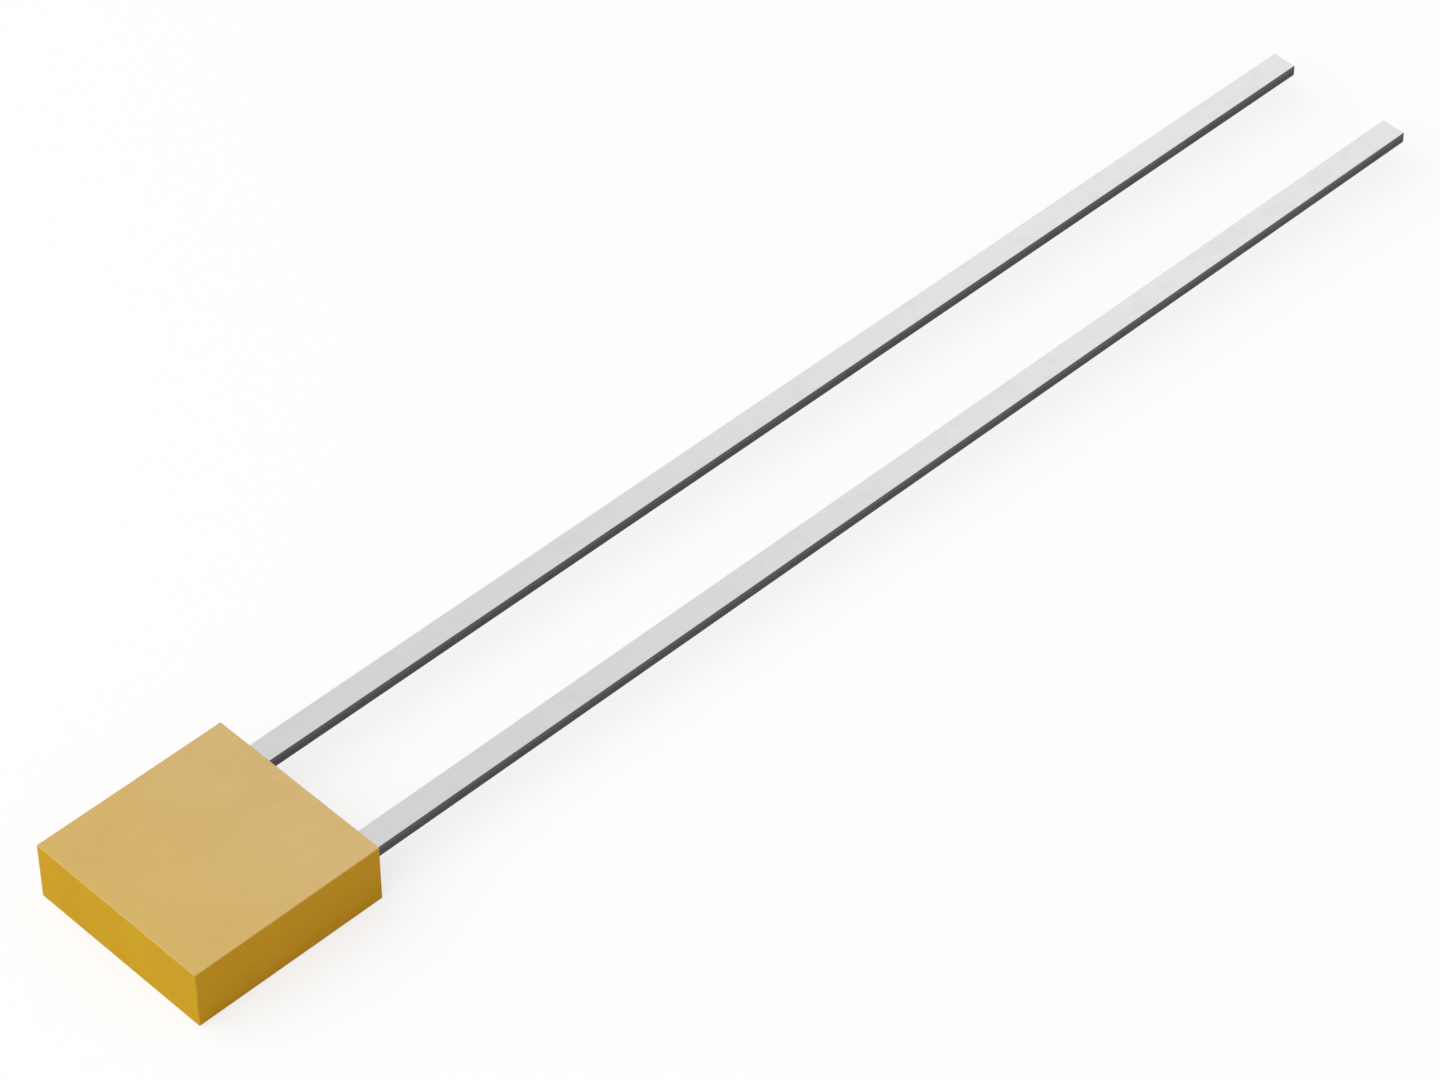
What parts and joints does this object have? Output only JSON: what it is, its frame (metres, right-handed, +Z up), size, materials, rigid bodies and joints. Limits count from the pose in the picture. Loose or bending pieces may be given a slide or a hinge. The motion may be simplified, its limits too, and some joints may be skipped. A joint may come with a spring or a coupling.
{
  "type": "multilayer ceramic capacitor",
  "caption": "Radial multilayer ceramic capacitor: a small square moulded epoxy block holding a layered ceramic chip, with two long straight flat leads from one side.",
  "frame": {"origin": "centre of the face by which the leads leave the body, midway between the two leads", "axes": "+Y along the leads away from the body, +Z up out of the broad face as the part lies flat, +X from the left lead to the right lead"},
  "size_m": [0.0038, 0.028, 0.0012],
  "materials": {
    "moulded_epoxy": "satin",
    "tinned_strip": "satin",
    "solder": "satin",
    "fired_silver": "matte",
    "ceramic": "satin",
    "electrode_metal": "matte"
  },
  "bodies": {
    "root": {"epoxy_body": "moulded_epoxy", "left_lead": "tinned_strip", "right_lead": "tinned_strip", "left_solder": "solder", "right_solder": "solder", "left_termination": "fired_silver", "right_termination": "fired_silver", "ceramic_block": "ceramic", "left_electrode_1": "electrode_metal", "left_electrode_2": "electrode_metal", "left_electrode_3": "electrode_metal", "left_electrode_4": "electrode_metal", "left_electrode_5": "electrode_metal", "left_electrode_6": "electrode_metal", "right_electrode_1": "electrode_metal", "right_electrode_2": "electrode_metal", "right_electrode_3": "electrode_metal", "right_electrode_4": "electrode_metal", "right_electrode_5": "electrode_metal", "right_electrode_6": "electrode_metal"}
  },
  "joints": []
}
